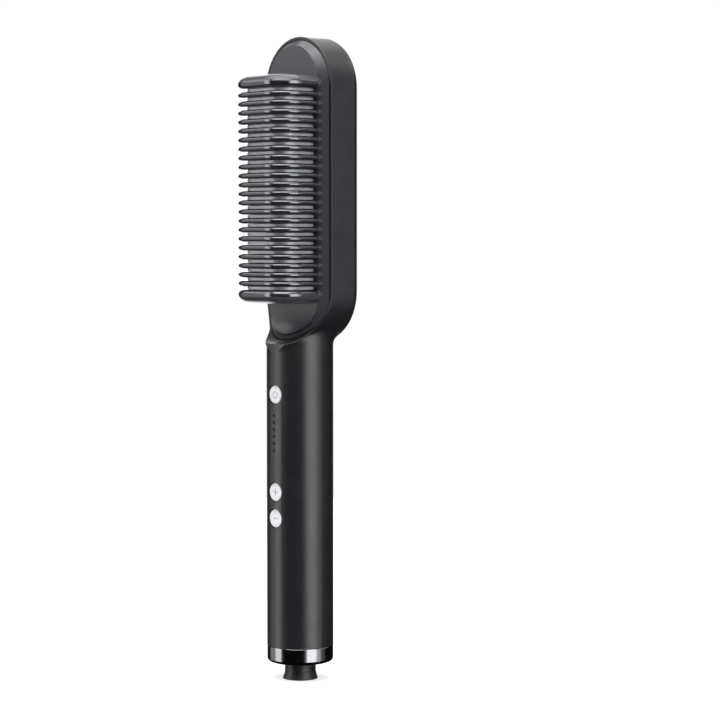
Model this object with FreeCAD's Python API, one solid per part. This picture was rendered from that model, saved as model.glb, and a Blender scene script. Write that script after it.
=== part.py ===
import FreeCAD, Part
import math
import os

from FreeCAD import Vector

# Hair straightening brush, upright: comb towards -Y, lit back towards +Y, handle axis along Z.
# Sizes are in millimetres. Heights count up from the end ring's lower face, and depths count
# back from the handle's axis. The finished pieces are moved down at the end, so that the
# origin lies on the axis at the middle of the grip.

# Overall sizes
brush_length = 280.0
head_length = 136.0
head_width = 46.2
head_thickness = 16.8
back_step = 0.8
handle_diameter = 30.0
handle_wall = 2.0
grip_centre_height = 75.0

# Clearances, and how many points of an edge are tested
edge_samples = 12
cut_overrun = 5.0
control_gap = 0.3
part_gap = 0.5
seat_clearance = 0.15
insert_gap = 0.35
screw_clearance = 0.05
running_clearance = 0.05
touch_clearance = 0.05
button_clearance = 0.15
fin_clearance = 0.08

# Head shell, scooped neck and the seats inside them
back_edge_round = 3.6
neck_round = 5.0
neck_front_proud = 0.05
neck_oval_start = 7.0
lip_drop = 0.5
scoop_radius = 19.5
rim_width = 1.6
rim_round = 0.4
ledge_thickness = 2.0
ledge_width = 2.5
ledge_end_width = 6.0
cavity_wall = 2.7
back_rim_width = 1.5
light_seat_inset = 4.3
neck_floor = 5.0
passage_wall = 3.8

# Guard comb: chamfered front insert, and ribs and end plates with oval rims
guard_thickness = 3.0
plateau_rise = 3.0
plateau_inset = 4.3
plateau_end_shift = 2.0
comb_end_inset = 17.2
tooth_pitch = 3.96
tooth_root_inset = 1.0
rib_thickness = 2.5
rib_taper = 1.7
rib_side_inset = 2.5
rib_length = 22.2
rib_corner = 12.0
rib_rim_steps = 2
end_rim_steps = 3
end_plate_thickness = 6.2
end_plate_inner = 2.2
end_plate_taper = 8.0

# Heating comb: cast base with fins with square rims and four bosses
fin_thickness = 1.25
fin_taper = 0.05
fin_rim_steps = 1
fin_side_inset = 4.7
fin_setback = 3.7
fin_corner = 8.0
base_thickness = 3.0
base_side_gap = 3.5
base_end_gap = 2.4
boss_radius = 2.6

# Heaters, sleeves, clamp, sensor and cut-out
heater_side_inset = 3.5
heater_end_gap = 8.9
heater_thickness = 2.0
heater_gap = 3.0
sleeve_film = 0.2
clamp_side_inset = 2.0
clamp_thickness = 0.8
clamp_end = 3.0
clamp_window = 3.6
sensor_radius = 1.0
sensor_length = 6.0
cutout_radius = 1.15
cutout_length = 9.0
cutout_side = 5.0
shield_inset = 9.1
shield_end_inset = 2.9
shield_lap = 2.0
shield_thickness = 0.6

# Screws
head_screw_radius = 1.0
head_screw_cap_radius = 1.9
head_screw_cap = 1.4
head_screw_side = 8.0
head_screw_depth = 3.5
heater_screw_side = 7.0
heater_screw_edge = 4.5
heater_screw_depth = 4.5
board_screw_radius = 0.9
board_screw_cap_radius = 1.8
board_screw_cap = 1.3
board_screw_edge = 3.7
board_screw_end = 8.0
board_screw_length = 6.0

# Lit back: light board, frame, diffuser ring and panel
led_board_thickness = 1.2
led_board_width = 3.9
led_board_gap = 1.1
led_board_clearance = 0.3
led_size = 2.0
led_height = 0.9
led_path_inset = 4.2
side_led_count = 6
arc_led_count = 4
frame_thickness = 1.0
frame_hole_radius = 1.4
frame_post_radius = 1.2
frame_peg_radius = 0.7
frame_post_inset = 6.0
light_ring_width = 3.2
panel_gap = 0.5
panel_end_inset = 2.4
panel_proud = 0.2
panel_skin = 1.8
panel_skirt = 1.4
panel_edge_round = 0.6

# Board carrier and control board
carrier_wall = 1.5
carrier_top_gap = 2.0
carrier_post_radius = 2.2
board_thickness = 1.6
board_foot_gap = 0.5
board_top_gap = 2.5
board_side_clearance = 0.25
chip_size = 5.0
chip_thickness = 1.2
triac_width = 10.0
triac_depth = 4.5
triac_length = 13.0
capacitor_width = 12.0
capacitor_length = 14.0
capacitor_clearance = 3.6
fuse_radius = 2.0
fuse_length = 10.0
fuse_side = 5.0
part_gap_shares = (0.0, 0.1, 0.3)

# Buttons, switches and indicator
control_gap_shares = (0.53, 0.202, 0.02)
button_diameter = 8.5
button_spacing = 1.3
button_sink = 0.7
button_round = 0.5
button_flange = 1.0
button_flange_thickness = 0.8
button_stem_radius = 2.4
button_stem_length = 1.84
button_travel = 0.6
switch_size = 6.0
switch_depth = 3.5
plunger_radius = 1.7
plunger_reach = 1.8
plunger_engaged = 0.7
indicator_count = 6
indicator_pitch = 3.12
indicator_pin_radius = 0.6
indicator_sink = 0.3
indicator_flare = 0.25
indicator_bar_width = 2.4
indicator_bar_end = 1.5
indicator_leg = 1.6
indicator_led_size = 1.2
indicator_led_depth = 0.7
indicator_led_gap = 0.3

# Inner wires
heater_lead_radius = 0.8
heater_lead_side = 2.4
sensor_lead_radius = 0.4
sensor_lead_side = 0.6
light_lead_radius = 0.5
light_lead_side = 4.0
light_lead_inset = 0.2
power_lead_radius = 0.8
power_lead_side = 2.5
power_lead_inset = 1.2
power_lead_rise = 5.0
lead_drop = 3.0
lead_bend_share = 0.4
sensor_bend = 1.0

# Handle end: ring, cap, swivelling gland and its contacts
ring_height = 7.6
ring_wall = 4.0
ring_bottom_round = 1.8
ring_top_chamfer = 0.3
cap_recess = 0.6
cap_spigot_length = 12.4
gland_radius = 7.1
gland_flare_radius = 7.9
gland_length = 8.2
gland_flare_length = 2.6
gland_groove_count = 3
gland_groove_width = 0.7
gland_groove_depth = 0.5
gland_gap = 0.3
barrel_radius = 5.5
clip_groove_radius = 4.8
clip_radius = 7.2
clip_thickness = 0.9
clip_gap = 0.35
clip_mouth = 5.0
nose_radius = 4.5
nose_length = 12.0
barrel_shoulder = 0.7
cord_bore_radius = 3.2
cord_bore_length = 20.0
slip_ring_thickness = 0.7
slip_ring_width = 3.0
slip_ring_gap = 2.0
slip_ring_start = 1.0
leaf_gap = 0.15
leaf_thickness = 0.4
leaf_width = 3.0
leaf_length = 4.0
contact_block_width = 8.0
contact_block_length = 10.0

# Head sizes that follow from those above
head_radius = head_width / 2
head_bottom = brush_length - head_length
head_low = head_bottom + head_radius
head_high = brush_length - head_radius
head_middle = (head_low + head_high) / 2
handle_radius = handle_diameter / 2
head_back_depth = handle_radius + back_step
head_front_depth = head_thickness - head_back_depth
neck_front_depth = handle_radius + neck_front_proud
lip_height = head_bottom - lip_drop
insert_radius = head_radius - rim_width
guard_back_depth = guard_thickness - head_front_depth
plateau_depth = head_front_depth + plateau_rise
comb_span = head_length - 2 * (comb_end_inset + end_plate_thickness)
tooth_gap = (tooth_pitch - rib_thickness - fin_thickness) / 2
rib_count = int((comb_span - fin_thickness - 2 * tooth_gap + touch_clearance) / tooth_pitch)
end_nose_offset = (tooth_pitch * rib_count + fin_thickness) / 2 + tooth_gap + end_plate_inner
rib_side = (rib_thickness / 2, rib_taper)
fin_side = (fin_thickness / 2, fin_taper)
end_inner_side = (end_plate_inner, end_plate_inner)
end_outer_side = (end_plate_thickness - end_plate_inner, end_plate_taper)
rib_width = 2 * (insert_radius - rib_side_inset)
rib_reach = plateau_depth + rib_length
fin_width = rib_width - 2 * fin_side_inset
fin_reach = rib_reach - fin_setback
tooth_root_depth = guard_back_depth - tooth_root_inset
ledge_radius = insert_radius - ledge_width
ledge_low = head_low + ledge_end_width
ledge_high = head_high - ledge_end_width
ledge_back = guard_back_depth + ledge_thickness
cavity_radius = head_radius - cavity_wall
light_seat_depth = head_back_depth - light_seat_inset
light_seat_radius = head_radius - back_rim_width
frame_back = light_seat_depth + frame_thickness
ring_inner_radius = light_seat_radius - light_ring_width
panel_radius = ring_inner_radius - panel_gap
panel_low = head_low + panel_end_inset
panel_high = head_high - panel_end_inset
panel_back = head_back_depth + panel_proud
base_radius = ledge_radius - base_side_gap
base_half_span = ledge_high - head_middle + ledge_radius - base_end_gap - base_radius
base_back = guard_back_depth + base_thickness
heater_screw_offset = base_half_span + base_radius - heater_screw_edge
heater_width = 2 * (base_radius - heater_side_inset)
heater_length = heater_screw_offset - boss_radius - heater_end_gap - heater_gap / 2
stack_thickness = heater_thickness + 2 * sleeve_film
clamp_front = base_back + stack_thickness
clamp_back = clamp_front + clamp_thickness
clamp_width = heater_width - 2 * clamp_side_inset
clamp_half_length = heater_screw_offset + clamp_end
shield_radius = head_radius - shield_inset
shield_half_span = head_high - head_middle - shield_end_inset
frame_opening_radius = shield_radius - shield_lap
led_board_back = light_seat_depth - led_board_gap
led_board_front = led_board_back - led_board_thickness
led_board_radius = cavity_radius - led_board_clearance
led_path_radius = head_radius - led_path_inset

# Handle sizes that follow from those above
bore_radius = handle_radius - handle_wall
bore_top_height = lip_height - neck_floor
ring_bore_radius = handle_radius - ring_wall
cap_top_height = ring_height + cap_spigot_length
gland_top = cap_recess - gland_gap
groove_bottom = cap_top_height + clip_gap
groove_top = groove_bottom + clip_thickness + touch_clearance
nose_bottom = groove_top + barrel_shoulder
nose_top = nose_bottom + nose_length
carrier_radius = bore_radius - seat_clearance
carrier_inner_radius = carrier_radius - carrier_wall
carrier_top_height = bore_top_height - carrier_top_gap
button_radius = button_diameter / 2
flange_radius = button_radius + button_flange
flange_front = math.sqrt(bore_radius ** 2 - flange_radius ** 2) - button_clearance
plunger_front = flange_front - button_stem_length
switch_front = plunger_front - plunger_reach
board_front_depth = switch_front - switch_depth
board_back = board_thickness - board_front_depth
board_half_width = math.sqrt(bore_radius ** 2 - board_front_depth ** 2) - board_side_clearance
board_bottom_height = nose_top + board_foot_gap
board_top_height = bore_top_height - board_top_gap
board_screw_side = board_half_width - board_screw_edge
lead_height = board_top_height - lead_drop
light_lead_depth = led_board_front + light_lead_inset
capacitor_room = math.sqrt(carrier_inner_radius ** 2 - (capacitor_width / 2) ** 2)
capacitor_depth = capacitor_room - capacitor_clearance - board_back
chip_side = (board_half_width + switch_size / 2) / 2


def spread(low, high, lengths, gap_shares):
    """Middles of pieces laid along a span: each gap before a piece is a share of the free length."""
    free = high - low - sum(lengths)
    middles = []
    for length, share in zip(lengths, gap_shares):
        low += free * share
        middles.append(low + length / 2)
        low += length
    return middles


# Places along the handle: the controls in front of the board and the large parts behind it
button_pitch = 2 * flange_radius + button_spacing
button_room = 2 * (flange_radius + control_gap)
pair_room = button_pitch + button_room
indicator_half = indicator_pitch * (indicator_count - 1) / 2 + indicator_bar_end
indicator_room = 2 * (indicator_half + indicator_leg)
control_rooms = (pair_room, indicator_room, button_room)
control_middles = spread(board_bottom_height, bore_top_height, control_rooms, control_gap_shares)
pair_height, indicator_height, power_height = control_middles
button_heights = {
    "power": power_height,
    "warmer": pair_height + button_pitch / 2,
    "cooler": pair_height - button_pitch / 2,
}
parts_low = board_bottom_height + board_screw_end + carrier_post_radius + part_gap
parts_high = lead_height - heater_lead_radius - part_gap
part_lengths = (fuse_length, capacitor_length, triac_length)
fuse_height, capacitor_height, triac_height = spread(parts_low, parts_high, part_lengths, part_gap_shares)


def stadium_wire(radius, low, high, depth):
    """A round-ended outline in the plane at a depth, with its arc centres at two heights."""
    right_low = Vector(radius, depth, low)
    right_high = Vector(radius, depth, high)
    left_high = Vector(-radius, depth, high)
    left_low = Vector(-radius, depth, low)
    right = Part.LineSegment(right_low, right_high).toShape()
    top = Part.Arc(right_high, Vector(0, depth, high + radius), left_high).toShape()
    left = Part.LineSegment(left_high, left_low).toShape()
    bottom = Part.Arc(left_low, Vector(0, depth, low - radius), right_low).toShape()
    return Part.Wire([right, top, left, bottom])


def stadium_slab(radius, low, high, front, back):
    """A round-ended plate between two depths."""
    return Part.Face(stadium_wire(radius, low, high, front)).extrude(Vector(0, back - front, 0))


def block(width, front, back, bottom, top, side=0):
    """A box between two depths and two heights, centred sideways."""
    return Part.makeBox(width, back - front, top - bottom, Vector(side - width / 2, front, bottom))


def rod(radius, side, height, front, back):
    """A round rod that runs from front to back."""
    return Part.makeCylinder(radius, back - front, Vector(side, front, height), Vector(0, 1, 0))


def post(radius, bottom, top, side=0, depth=0):
    """A round rod that stands up."""
    return Part.makeCylinder(radius, top - bottom, Vector(side, depth, bottom))


def joined(shapes):
    """One solid from pieces that meet."""
    return shapes[0].multiFuse(shapes[1:]).removeSplitter()


def both_sides(side):
    """The same distance to the left and to the right."""
    return (-side, side)


def tooth_heights(count):
    """Heights of a row of teeth about the middle of the head."""
    return [head_middle + (i - (count - 1) / 2) * tooth_pitch for i in range(count)]


def tooth_wire(width, reach, corner, inset, height):
    """A tooth's outline at a height: a rounded blade from its root to its nose."""
    half = width / 2
    nose = -(reach - inset)
    bend_side = half - corner
    bend_depth = -(reach - corner)
    radius = corner - inset
    diagonal = radius * math.sqrt(0.5)
    root_right = Vector(half - inset, tooth_root_depth, height)
    shoulder_right = Vector(half - inset, bend_depth, height)
    middle_right = Vector(bend_side + diagonal, bend_depth - diagonal, height)
    nose_right = Vector(bend_side, nose, height)
    nose_left = Vector(-bend_side, nose, height)
    middle_left = Vector(-bend_side - diagonal, bend_depth - diagonal, height)
    shoulder_left = Vector(inset - half, bend_depth, height)
    root_left = Vector(inset - half, tooth_root_depth, height)
    edges = [
        Part.LineSegment(root_right, shoulder_right).toShape(),
        Part.Arc(shoulder_right, middle_right, nose_right).toShape(),
        Part.LineSegment(nose_right, nose_left).toShape(),
        Part.Arc(nose_left, middle_left, shoulder_left).toShape(),
        Part.LineSegment(shoulder_left, root_left).toShape(),
        Part.LineSegment(root_left, root_right).toShape(),
    ]
    return Part.Wire(edges)


def tooth(width, reach, corner, lower, upper, steps, height):
    """A blade with an oval rim; lower and upper are the half thickness and taper on each side of its nose."""
    turns = [step * math.pi / (2 * steps) for step in range(steps + 1)]
    places = [(-lower[0] * math.sin(turn), lower[1] * (1 - math.cos(turn))) for turn in reversed(turns)]
    places += [(upper[0] * math.sin(turn), upper[1] * (1 - math.cos(turn))) for turn in turns[1:]]
    sections = [tooth_wire(width, reach, corner, inset, height + offset) for offset, inset in places]
    return Part.makeLoft(sections, True, False)


def head_form():
    """The head's round-ended block, with its back edge rounded."""
    front = -handle_radius - 2 * neck_round
    slab = stadium_slab(head_radius, head_low, head_high, front, head_back_depth)
    rim = [edge for edge in slab.Edges if edge.BoundBox.YMin > head_back_depth - touch_clearance]
    return slab.makeFillet(back_edge_round, rim)


def scoop():
    """The space in front of the head and of the hollow that leads down to the handle's lip."""
    plane = -head_front_depth
    centre = plane - scoop_radius
    drop = math.sqrt(scoop_radius ** 2 - (-neck_front_depth - centre) ** 2)
    start = lip_height + drop
    sweep = math.atan2(drop, -neck_front_depth - centre) / 2
    far = -handle_radius - rib_reach
    top = brush_length + cut_overrun
    width = head_width + 2 * cut_overrun
    left = -width / 2
    upper = Vector(left, plane, top)
    tangent = Vector(left, plane, start)
    middle = Vector(left, centre + scoop_radius * math.cos(sweep), start - scoop_radius * math.sin(sweep))
    lip = Vector(left, -neck_front_depth, lip_height)
    outer_low = Vector(left, far, lip_height)
    outer_high = Vector(left, far, top)
    edges = [
        Part.LineSegment(upper, tangent).toShape(),
        Part.Arc(tangent, middle, lip).toShape(),
        Part.LineSegment(lip, outer_low).toShape(),
        Part.LineSegment(outer_low, outer_high).toShape(),
        Part.LineSegment(outer_high, upper).toShape(),
    ]
    return Part.Face(Part.Wire(edges)).extrude(Vector(width, 0, 0))


def neck_column():
    """The brush's plan outline at the neck: the handle, and an oval front that joins it to the head."""
    oval = Part.Ellipse(Vector(0, 0, 0), head_radius, neck_front_depth).toShape()
    front = Part.Face(Part.Wire([oval])).extrude(Vector(0, 0, brush_length))
    behind = block(head_width, -neck_oval_start, head_back_depth, 0, brush_length)
    return joined([front, behind, post(handle_radius, 0, brush_length)])


def front_of_head(face):
    """Whether a face is the head's flat front or the hollow below it."""
    box = face.BoundBox
    if box.YLength < touch_clearance:
        return abs(box.YMax + head_front_depth) < touch_clearance
    if isinstance(face.Surface, Part.Cylinder):
        return abs(face.Surface.Radius - scoop_radius) < touch_clearance
    return False


def shell_blank():
    """Head and handle as one solid, with the neck's inner corner and the front rim rounded."""
    solid = head_form().fuse(post(handle_radius, ring_height, head_low))
    loop = []
    for edge in solid.Edges:
        points = edge.discretize(edge_samples)
        off_handle = max(abs(math.hypot(point.x, point.y) - handle_radius) for point in points)
        above_end = edge.BoundBox.ZMin > ring_height
        if off_handle < touch_clearance and above_end and edge.BoundBox.XLength > handle_wall:
            loop.append(edge)
    blank = solid.makeFillet(neck_round, loop).common(neck_column()).cut(scoop())
    rim = []
    for edge in blank.Edges:
        faces = blank.ancestorsOfType(edge, Part.Face)
        on_front = [face for face in faces if front_of_head(face)]
        if len(on_front) == 1:
            rim.append(edge)
    return blank.makeFillet(rim_round, rim)


def head_screw_places():
    """Side and height of the screws through the two wide ends of the ledge."""
    reach = insert_radius - ledge_end_width / 2 - head_screw_cap_radius / 2
    rise = math.sqrt(reach ** 2 - head_screw_side ** 2)
    heights = (head_low - rise, head_high + rise)
    return [(side, height) for side in both_sides(head_screw_side) for height in heights]


def heater_screw_places():
    """Side and height of the screws at the ends of the heating comb."""
    heights = (head_middle - heater_screw_offset, head_middle + heater_screw_offset)
    return [(side, height) for side in both_sides(heater_screw_side) for height in heights]


def board_screw_places():
    """Side and height of the screws near the board's corners."""
    heights = (board_bottom_height + board_screw_end, board_top_height - board_screw_end)
    return [(side, height) for side in both_sides(board_screw_side) for height in heights]


def indicator_heights():
    """Heights of the row of indicator dots."""
    first = indicator_height - indicator_pitch * (indicator_count - 1) / 2
    return [first + i * indicator_pitch for i in range(indicator_count)]


def flare(radius, height):
    """A cone that breaks the edge of a round hole in the handle's front."""
    outer = Vector(0, -handle_radius - indicator_flare, height)
    return Part.makeCone(radius + 2 * indicator_flare, radius, 2 * indicator_flare, outer, Vector(0, 1, 0))


def main_housing():
    """Black moulded shell: handle tube, scooped neck and the head's frame."""
    beyond = rib_reach + handle_radius
    front_pocket = stadium_slab(insert_radius + insert_gap, head_low, head_high, -beyond, guard_back_depth)
    ledge_hole = stadium_slab(ledge_radius, ledge_low, ledge_high, -head_front_depth, light_seat_depth)
    cavity = stadium_slab(cavity_radius, head_low, head_high, ledge_back, head_back_depth)
    light_seat = stadium_slab(light_seat_radius, head_low, head_high, light_seat_depth, beyond)
    bore = post(bore_radius, 0, bore_top_height)
    passage_low = bore_top_height - cut_overrun
    passage = post(handle_radius - passage_wall, passage_low, head_low)
    passage = passage.common(block(handle_diameter, ledge_back, handle_radius, passage_low, head_low))
    cutters = [front_pocket, ledge_hole, cavity, light_seat, bore, passage]
    for height in button_heights.values():
        cutters.append(rod(button_radius + button_clearance, 0, height, -beyond, 0))
    dot_radius = indicator_pin_radius + touch_clearance
    for height in indicator_heights():
        cutters.append(rod(dot_radius, 0, height, -beyond, 0))
        cutters.append(flare(dot_radius, height))
    for side, height in head_screw_places():
        hole_radius = head_screw_radius + screw_clearance
        cutters.append(rod(hole_radius, side, height, -head_front_depth, light_seat_depth))
    return shell_blank().cut(cutters)


def guard_comb():
    """Heat-resistant black moulding: chamfered insert, ribs and two thick end plates."""
    insert = stadium_slab(insert_radius, head_low, head_high, -handle_radius, guard_back_depth).cut(scoop())
    raised_radius = insert_radius - plateau_inset
    raised_low = head_low - plateau_end_shift
    raised_high = head_high + plateau_end_shift
    foot = stadium_wire(insert_radius, head_low, head_high, -head_front_depth)
    plateau = stadium_wire(raised_radius, raised_low, raised_high, -plateau_depth)
    tongue = stadium_slab(raised_radius, raised_low, raised_high, -handle_radius, -plateau_depth)
    raised_scoop = scoop().translated(Vector(0, -plateau_rise, -plateau_end_shift))
    raised = Part.makeLoft([foot, plateau], True, True).fuse(tongue).cut(raised_scoop)
    plate = insert.fuse(raised)
    slots = []
    slot_half = fin_thickness / 2 + fin_clearance
    slot_width = fin_width + 2 * fin_clearance
    for height in tooth_heights(rib_count + 1):
        slots.append(block(slot_width, -fin_reach, base_back, height - slot_half, height + slot_half))
    pieces = [plate.cut(slots)]
    for height in tooth_heights(rib_count):
        pieces.append(tooth(rib_width, rib_reach, rib_corner, rib_side, rib_side, rib_rim_steps, height))
    for lower, upper, nose in (
        (end_outer_side, end_inner_side, head_middle - end_nose_offset),
        (end_inner_side, end_outer_side, head_middle + end_nose_offset),
    ):
        pieces.append(tooth(rib_width, rib_reach, rib_corner, lower, upper, end_rim_steps, nose))
    holes = []
    hole_radius = head_screw_radius + screw_clearance
    for side, height in head_screw_places():
        holes.append(rod(hole_radius, side, height, guard_back_depth - head_screw_depth, base_back))
    for side, height in heater_screw_places():
        holes.append(rod(hole_radius, side, height, guard_back_depth - heater_screw_depth, base_back))
    return pieces[0].multiFuse(pieces[1:]).cut(holes)


def heating_comb():
    """Cast aluminium base with fins that pass through the guard's slots, and screw bosses behind."""
    low = head_middle - base_half_span
    high = head_middle + base_half_span
    pieces = [stadium_slab(base_radius, low, high, guard_back_depth, base_back)]
    half = fin_thickness / 2
    root_width = fin_width - 2 * fin_taper
    root_front = tooth_root_depth - tooth_root_inset
    for height in tooth_heights(rib_count + 1):
        blade = tooth(fin_width, fin_reach, fin_corner, fin_side, fin_side, fin_rim_steps, height)
        root = block(root_width, root_front, base_back, height - half, height + half)
        pieces.append(blade)
        pieces.append(root)
    for side, height in heater_screw_places():
        pieces.append(rod(boss_radius, side, height, guard_back_depth, clamp_front))
    holes = []
    for side, height in heater_screw_places():
        holes.append(rod(head_screw_radius + screw_clearance, side, height, root_front, clamp_back))
    return pieces[0].multiFuse(pieces[1:]).cut(holes)


def heater_spans():
    """Lower and upper heights of the two heating plates."""
    inner = heater_gap / 2
    outer = inner + heater_length
    return [(head_middle - outer, head_middle - inner), (head_middle + inner, head_middle + outer)]


def ptc_heaters():
    """Two ceramic heating plates."""
    front = base_back + sleeve_film
    plates = [block(heater_width, front, front + heater_thickness, low, high) for low, high in heater_spans()]
    return Part.makeCompound(plates)


def heater_sleeves():
    """Insulating film wrapped round each heating plate."""
    sleeves = []
    for low, high in heater_spans():
        outer = block(heater_width + 2 * sleeve_film, base_back, clamp_front, low, high)
        front = base_back + sleeve_film
        back = clamp_front - sleeve_film
        sleeves.append(outer.cut(block(heater_width, front, back, low - cut_overrun, high + cut_overrun)))
    return Part.makeCompound(sleeves)


def heater_clamp():
    """Steel plate on the bosses that presses the heaters on the comb, with a window for the sensor."""
    low = head_middle - clamp_half_length
    high = head_middle + clamp_half_length
    plate = block(clamp_width, clamp_front, clamp_back, low, high)
    window = clamp_window / 2
    cutters = [block(clamp_window, base_back, light_seat_depth, head_middle - window, head_middle + window)]
    for side, height in heater_screw_places():
        cutters.append(rod(head_screw_radius + screw_clearance, side, height, base_back, light_seat_depth))
    return plate.cut(cutters)


def head_screw(side, height, tip, seat):
    """A pan-head screw with its head behind a seat and its shank reaching forward."""
    shank = rod(head_screw_radius, side, height, tip, seat)
    return shank.fuse(rod(head_screw_cap_radius, side, height, seat, seat + head_screw_cap))


def heater_screws():
    """Four screws through clamp, bosses and comb into the guard."""
    tip = guard_back_depth - heater_screw_depth
    screws = [head_screw(side, height, tip, clamp_back) for side, height in heater_screw_places()]
    return Part.makeCompound(screws)


def head_screws():
    """Four screws through the ledge into the guard."""
    tip = guard_back_depth - head_screw_depth
    screws = [head_screw(side, height, tip, ledge_back) for side, height in head_screw_places()]
    return Part.makeCompound(screws)


def thermistor():
    """Bead sensor lying on the comb's base between the two heaters."""
    start = Vector(-sensor_length / 2, base_back + touch_clearance + sensor_radius, head_middle)
    return Part.makeCylinder(sensor_radius, sensor_length, start, Vector(1, 0, 0))


def thermal_fuse():
    """Round cut-out lying on the clamp."""
    depth = clamp_back + touch_clearance + cutout_radius
    middle = heater_spans()[1][0] + heater_length / 2
    return post(cutout_radius, middle - cutout_length / 2, middle + cutout_length / 2, cutout_side, depth)


def heat_shield():
    """Mica sheet on the frame's inner face."""
    low = head_middle - shield_half_span
    high = head_middle + shield_half_span
    return stadium_slab(shield_radius, low, high, light_seat_depth - shield_thickness, light_seat_depth)


def led_places():
    """Side and height of the diodes along the ring."""
    places = []
    spacing = (head_high - head_low) / side_led_count
    for side in both_sides(led_path_radius):
        places += [(side, head_low + (i + 0.5) * spacing) for i in range(side_led_count)]
    for centre, sign in ((head_low, -1), (head_high, 1)):
        for i in range(arc_led_count):
            angle = math.pi * (i + 0.5) / arc_led_count
            rise = sign * led_path_radius * math.sin(angle)
            places.append((led_path_radius * math.cos(angle), centre + rise))
    return places


def frame_post_places():
    """Side and height of the frame's posts, between the side diodes."""
    spacing = (head_high - head_low) / side_led_count
    heights = [head_low + i * spacing for i in range(1, side_led_count, 2)]
    return [(side, height) for side in both_sides(head_radius - frame_post_inset) for height in heights]


def led_board():
    """Ring-shaped light board, staked on the frame's pegs."""
    outer = stadium_slab(led_board_radius, head_low, head_high, led_board_front, led_board_back)
    inner_radius = led_board_radius - led_board_width
    holes = [stadium_slab(inner_radius, head_low, head_high, guard_back_depth, light_seat_depth)]
    for side, height in frame_post_places():
        hole_radius = frame_peg_radius + screw_clearance
        holes.append(rod(hole_radius, side, height, guard_back_depth, light_seat_depth))
    return outer.cut(holes)


def ring_leds():
    """Small diodes on the light board's back."""
    half = led_size / 2
    leds = []
    for side, height in led_places():
        back = led_board_back + led_height
        leds.append(block(led_size, led_board_back, back, height - half, height + half, side))
    return Part.makeCompound(leds)


def reflector_frame():
    """Frame with light holes, posts and pegs, seated on the housing's inner step."""
    radius = light_seat_radius - seat_clearance
    plate = stadium_slab(radius, head_low, head_high, light_seat_depth, frame_back)
    low = head_middle - shield_half_span
    high = head_middle + shield_half_span
    holes = [stadium_slab(frame_opening_radius, low, high, guard_back_depth, head_back_depth)]
    for side, height in led_places():
        holes.append(rod(frame_hole_radius, side, height, guard_back_depth, head_back_depth))
    pieces = [plate.cut(holes)]
    for side, height in frame_post_places():
        pieces.append(rod(frame_post_radius, side, height, led_board_back, light_seat_depth))
        pieces.append(rod(frame_peg_radius, side, height, led_board_front, led_board_back))
    return joined(pieces)


def light_ring():
    """Clear diffuser ring that carries on the rounded back edge of the head."""
    outer = stadium_slab(light_seat_radius - touch_clearance, head_low, head_high, frame_back, panel_back)
    inner = stadium_slab(ring_inner_radius, panel_low, panel_high, guard_back_depth, panel_back + cut_overrun)
    return head_form().common(outer).cut(inner)


def back_panel():
    """Gloss panel with a skirt, standing a little proud of the light ring."""
    slab = stadium_slab(panel_radius, panel_low, panel_high, frame_back, panel_back)
    rim = [edge for edge in slab.Edges if edge.BoundBox.YMin > panel_back - touch_clearance]
    slab = slab.makeFillet(panel_edge_round, rim)
    skin = panel_back - panel_skin
    return slab.cut(stadium_slab(panel_radius - panel_skirt, panel_low, panel_high, guard_back_depth, skin))


def board_carrier():
    """Trough that stands on the end cap and holds the board on its two edges and four posts."""
    tube = post(carrier_radius, cap_top_height, carrier_top_height)
    inside = post(carrier_inner_radius, 0, brush_length)
    keep = block(handle_diameter, board_back, handle_radius, 0, brush_length)
    pieces = [tube.cut(inside).common(keep)]
    limit = post(carrier_radius - carrier_wall / 2, cap_top_height, carrier_top_height)
    for side, height in board_screw_places():
        pieces.append(rod(carrier_post_radius, side, height, board_back, carrier_radius).common(limit))
    holes = []
    for side, height in board_screw_places():
        tip = board_back + board_screw_length
        holes.append(rod(board_screw_radius + screw_clearance, side, height, board_back - cut_overrun, tip))
    return pieces[0].multiFuse(pieces[1:]).cut(holes)


def control_board():
    """Circuit board across the handle."""
    board = block(2 * board_half_width, -board_front_depth, board_back, board_bottom_height, board_top_height)
    holes = []
    for side, height in board_screw_places():
        holes.append(rod(board_screw_radius + screw_clearance, side, height, -handle_radius, handle_radius))
    return board.cut(holes)


def control_chip():
    """Flat microcontroller on the board's front, beside the light pipe."""
    half = chip_size / 2
    front = -board_front_depth - chip_thickness
    low = indicator_height - half
    high = indicator_height + half
    return block(chip_size, front, -board_front_depth, low, high, chip_side)


def triac():
    """Heater switch on the board's back."""
    half = triac_length / 2
    return block(triac_width, board_back, board_back + triac_depth, triac_height - half, triac_height + half)


def capacitor():
    """Box-shaped mains capacitor on the board's back."""
    half = capacitor_length / 2
    back = board_back + capacitor_depth
    return block(capacitor_width, board_back, back, capacitor_height - half, capacitor_height + half)


def fuse():
    """Round fuse lying on the board's back."""
    half = fuse_length / 2
    depth = board_back + fuse_radius + touch_clearance
    return post(fuse_radius, fuse_height - half, fuse_height + half, fuse_side, depth)


def board_screws():
    """Four screws from the front through the board into the carrier's posts."""
    seat = -board_front_depth
    screws = []
    for side, height in board_screw_places():
        shank = rod(board_screw_radius, side, height, seat, board_back + board_screw_length)
        cap = rod(board_screw_cap_radius, side, height, seat - board_screw_cap, seat)
        screws.append(shank.fuse(cap))
    return Part.makeCompound(screws)


def switch_bodies():
    """Three square tactile switches with a well for the moving stem."""
    half = switch_size / 2
    well_back = plunger_engaged + button_travel + button_clearance - switch_front
    bodies = []
    for height in button_heights.values():
        body = block(switch_size, -switch_front, -board_front_depth, height - half, height + half)
        well = rod(plunger_radius + running_clearance, 0, height, -handle_radius, well_back)
        bodies.append(body.cut(well))
    return Part.makeCompound(bodies)


def switch_plunger(height):
    """Moving stem of a switch."""
    return rod(plunger_radius, 0, height, -plunger_front, plunger_engaged - switch_front)


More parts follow.
